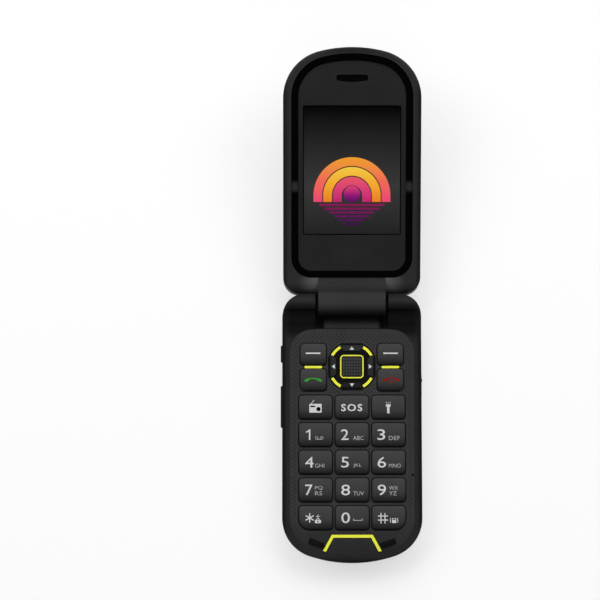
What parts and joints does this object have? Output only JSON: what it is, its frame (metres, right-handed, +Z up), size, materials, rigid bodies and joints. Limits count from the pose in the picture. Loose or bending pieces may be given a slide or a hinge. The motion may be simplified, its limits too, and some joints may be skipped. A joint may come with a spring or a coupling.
{
  "type": "flip phone",
  "caption": "Rugged flip phone lying open: keypad half and tilted display half on a barrel hinge, yellow trim.",
  "frame": {"origin": "on the table the phone lies on, straight below the hinge axis, on the centre plane", "axes": "+X to the phone's right seen from the keypad, +Y from the keypad half to the open lid, +Z up"},
  "size_m": [0.0539, 0.1938, 0.037],
  "materials": {
    "shell_plastic": "fine matt black moulding",
    "face_plastic": "satin dark grey moulding",
    "key_plastic": "satin dark grey key caps",
    "accent_yellow": "satin yellow",
    "camera_ring_gold": "satin gold-yellow",
    "seal_rubber": "smooth black",
    "screen_glass": "polished, dark border",
    "display_stack": "gloss",
    "circuit_board": "green lacquer",
    "battery_case": "wrapped",
    "steel": "plated",
    "earpiece_steel": "blackened mesh",
    "inner_plastic": "matt black",
    "led_lens": "clear lens"
  },
  "bodies": {
    "base": {"base_front_shell": "shell_plastic", "base_back_shell": "shell_plastic", "keypad_panel": "face_plastic", "keypad_mat": "seal_rubber", "main_board": "circuit_board", "battery": "battery_case", "battery_cover": "shell_plastic", "accent_trims": "accent_yellow", "hinge_accent_insert": "accent_yellow", "keypad_light_bars": "accent_yellow", "loudspeaker": "inner_plastic", "usb_socket": "steel", "base_screws": "steel", "lid_rest_pads": "seal_rubber", "hinge_click_unit": "steel", "hinge_pin": "steel"},
    "lid": {"lid_front_shell": "shell_plastic", "lid_back_shell": "shell_plastic", "hinge_barrel": "shell_plastic", "display_bezel": "face_plastic", "lid_seal_ring": "seal_rubber", "main_display": "display_stack", "display_window": "screen_glass", "earpiece_mesh": "earpiece_steel", "outer_display": "display_stack", "outer_window": "screen_glass", "camera_ring": "camera_ring_gold", "camera_window": "screen_glass", "camera_module": "inner_plastic", "flash_led": "led_lens", "lid_board": "circuit_board", "lid_screws": "steel"},
    "key_radio": {"key_radio": "key_plastic"},
    "key_sos": {"key_sos": "key_plastic"},
    "key_torch": {"key_torch": "key_plastic"},
    "key_1": {"key_1": "key_plastic"},
    "key_2": {"key_2": "key_plastic"},
    "key_3": {"key_3": "key_plastic"},
    "key_4": {"key_4": "key_plastic"},
    "key_5": {"key_5": "key_plastic"},
    "key_6": {"key_6": "key_plastic"},
    "key_7": {"key_7": "key_plastic"},
    "key_8": {"key_8": "key_plastic"},
    "key_9": {"key_9": "key_plastic"},
    "key_star": {"key_star": "key_plastic"},
    "key_0": {"key_0": "key_plastic"},
    "key_hash": {"key_hash": "key_plastic"},
    "key_soft_left": {"key_soft_left": "key_plastic"},
    "key_soft_right": {"key_soft_right": "key_plastic"},
    "key_call": {"key_call": "key_plastic"},
    "key_end": {"key_end": "key_plastic"},
    "key_ok": {"key_ok": "key_plastic"},
    "key_up": {"key_up": "key_plastic"},
    "key_left": {"key_left": "key_plastic"},
    "key_down": {"key_down": "key_plastic"},
    "key_right": {"key_right": "key_plastic"},
    "side_key": {"side_key": "seal_rubber"},
    "volume_rocker": {"volume_rocker": "seal_rubber"},
    "port_cover": {"port_cover": "seal_rubber"},
    "cover_lock": {"cover_lock": "steel"}
  },
  "joints": [
    {"name": "lid_hinge", "type": "hinge", "parent": "base", "child": "lid", "pos_m": [0, 0, 0.012], "axis": [1, 0, 0], "range_deg": [0, 165]},
    {"name": "key_radio_press", "type": "slide", "parent": "base", "child": "key_radio", "axis": [0, 0, -1], "range_m": [0, 0.0003], "stiffness_N_per_m": 500, "springref_m": -0.0001},
    {"name": "key_sos_press", "type": "slide", "parent": "base", "child": "key_sos", "axis": [0, 0, -1], "range_m": [0, 0.0003], "stiffness_N_per_m": 500, "springref_m": -0.0001},
    {"name": "key_torch_press", "type": "slide", "parent": "base", "child": "key_torch", "axis": [0, 0, -1], "range_m": [0, 0.0003], "stiffness_N_per_m": 500, "springref_m": -0.0001},
    {"name": "key_1_press", "type": "slide", "parent": "base", "child": "key_1", "axis": [0, 0, -1], "range_m": [0, 0.0003], "stiffness_N_per_m": 500, "springref_m": -0.0001},
    {"name": "key_2_press", "type": "slide", "parent": "base", "child": "key_2", "axis": [0, 0, -1], "range_m": [0, 0.0003], "stiffness_N_per_m": 500, "springref_m": -0.0001},
    {"name": "key_3_press", "type": "slide", "parent": "base", "child": "key_3", "axis": [0, 0, -1], "range_m": [0, 0.0003], "stiffness_N_per_m": 500, "springref_m": -0.0001},
    {"name": "key_4_press", "type": "slide", "parent": "base", "child": "key_4", "axis": [0, 0, -1], "range_m": [0, 0.0003], "stiffness_N_per_m": 500, "springref_m": -0.0001},
    {"name": "key_5_press", "type": "slide", "parent": "base", "child": "key_5", "axis": [0, 0, -1], "range_m": [0, 0.0003], "stiffness_N_per_m": 500, "springref_m": -0.0001},
    {"name": "key_6_press", "type": "slide", "parent": "base", "child": "key_6", "axis": [0, 0, -1], "range_m": [0, 0.0003], "stiffness_N_per_m": 500, "springref_m": -0.0001},
    {"name": "key_7_press", "type": "slide", "parent": "base", "child": "key_7", "axis": [0, 0, -1], "range_m": [0, 0.0003], "stiffness_N_per_m": 500, "springref_m": -0.0001},
    {"name": "key_8_press", "type": "slide", "parent": "base", "child": "key_8", "axis": [0, 0, -1], "range_m": [0, 0.0003], "stiffness_N_per_m": 500, "springref_m": -0.0001},
    {"name": "key_9_press", "type": "slide", "parent": "base", "child": "key_9", "axis": [0, 0, -1], "range_m": [0, 0.0003], "stiffness_N_per_m": 500, "springref_m": -0.0001},
    {"name": "key_star_press", "type": "slide", "parent": "base", "child": "key_star", "axis": [0, 0, -1], "range_m": [0, 0.0003], "stiffness_N_per_m": 500, "springref_m": -0.0001},
    {"name": "key_0_press", "type": "slide", "parent": "base", "child": "key_0", "axis": [0, 0, -1], "range_m": [0, 0.0003], "stiffness_N_per_m": 500, "springref_m": -0.0001},
    {"name": "key_hash_press", "type": "slide", "parent": "base", "child": "key_hash", "axis": [0, 0, -1], "range_m": [0, 0.0003], "stiffness_N_per_m": 500, "springref_m": -0.0001},
    {"name": "key_soft_left_press", "type": "slide", "parent": "base", "child": "key_soft_left", "axis": [0, 0, -1], "range_m": [0, 0.0003], "stiffness_N_per_m": 500, "springref_m": -0.0001},
    {"name": "key_soft_right_press", "type": "slide", "parent": "base", "child": "key_soft_right", "axis": [0, 0, -1], "range_m": [0, 0.0003], "stiffness_N_per_m": 500, "springref_m": -0.0001},
    {"name": "key_call_press", "type": "slide", "parent": "base", "child": "key_call", "axis": [0, 0, -1], "range_m": [0, 0.0003], "stiffness_N_per_m": 500, "springref_m": -0.0001},
    {"name": "key_end_press", "type": "slide", "parent": "base", "child": "key_end", "axis": [0, 0, -1], "range_m": [0, 0.0003], "stiffness_N_per_m": 500, "springref_m": -0.0001},
    {"name": "key_ok_press", "type": "slide", "parent": "base", "child": "key_ok", "axis": [0, 0, -1], "range_m": [0, 0.0003], "stiffness_N_per_m": 500, "springref_m": -0.0001},
    {"name": "key_up_press", "type": "slide", "parent": "base", "child": "key_up", "axis": [0, 0, -1], "range_m": [0, 0.0003], "stiffness_N_per_m": 500, "springref_m": -0.0001},
    {"name": "key_left_press", "type": "slide", "parent": "base", "child": "key_left", "axis": [0, 0, -1], "range_m": [0, 0.0003], "stiffness_N_per_m": 500, "springref_m": -0.0001},
    {"name": "key_down_press", "type": "slide", "parent": "base", "child": "key_down", "axis": [0, 0, -1], "range_m": [0, 0.0003], "stiffness_N_per_m": 500, "springref_m": -0.0001},
    {"name": "key_right_press", "type": "slide", "parent": "base", "child": "key_right", "axis": [0, 0, -1], "range_m": [0, 0.0003], "stiffness_N_per_m": 500, "springref_m": -0.0001},
    {"name": "side_key_press", "type": "slide", "parent": "base", "child": "side_key", "axis": [1, 0, 0], "range_m": [0, 0.00035], "stiffness_N_per_m": 500, "springref_m": -0.0001},
    {"name": "volume_rock", "type": "hinge", "parent": "base", "child": "volume_rocker", "pos_m": [-0.0241, -0.0386, 0.0076], "axis": [0, 0, 1], "range_deg": [-2, 2], "stiffness_Nm_per_rad": 0.02},
    {"name": "port_cover_swing", "type": "hinge", "parent": "base", "child": "port_cover", "pos_m": [0.02645, -0.03555, 0.0054], "axis": [0, 0, -1], "range_deg": [0, 110]},
    {"name": "cover_lock_turn", "type": "hinge", "parent": "base", "child": "cover_lock", "pos_m": [0, -0.0154, 0], "axis": [0, 0, 1], "range_deg": [0, 90]}
  ]
}
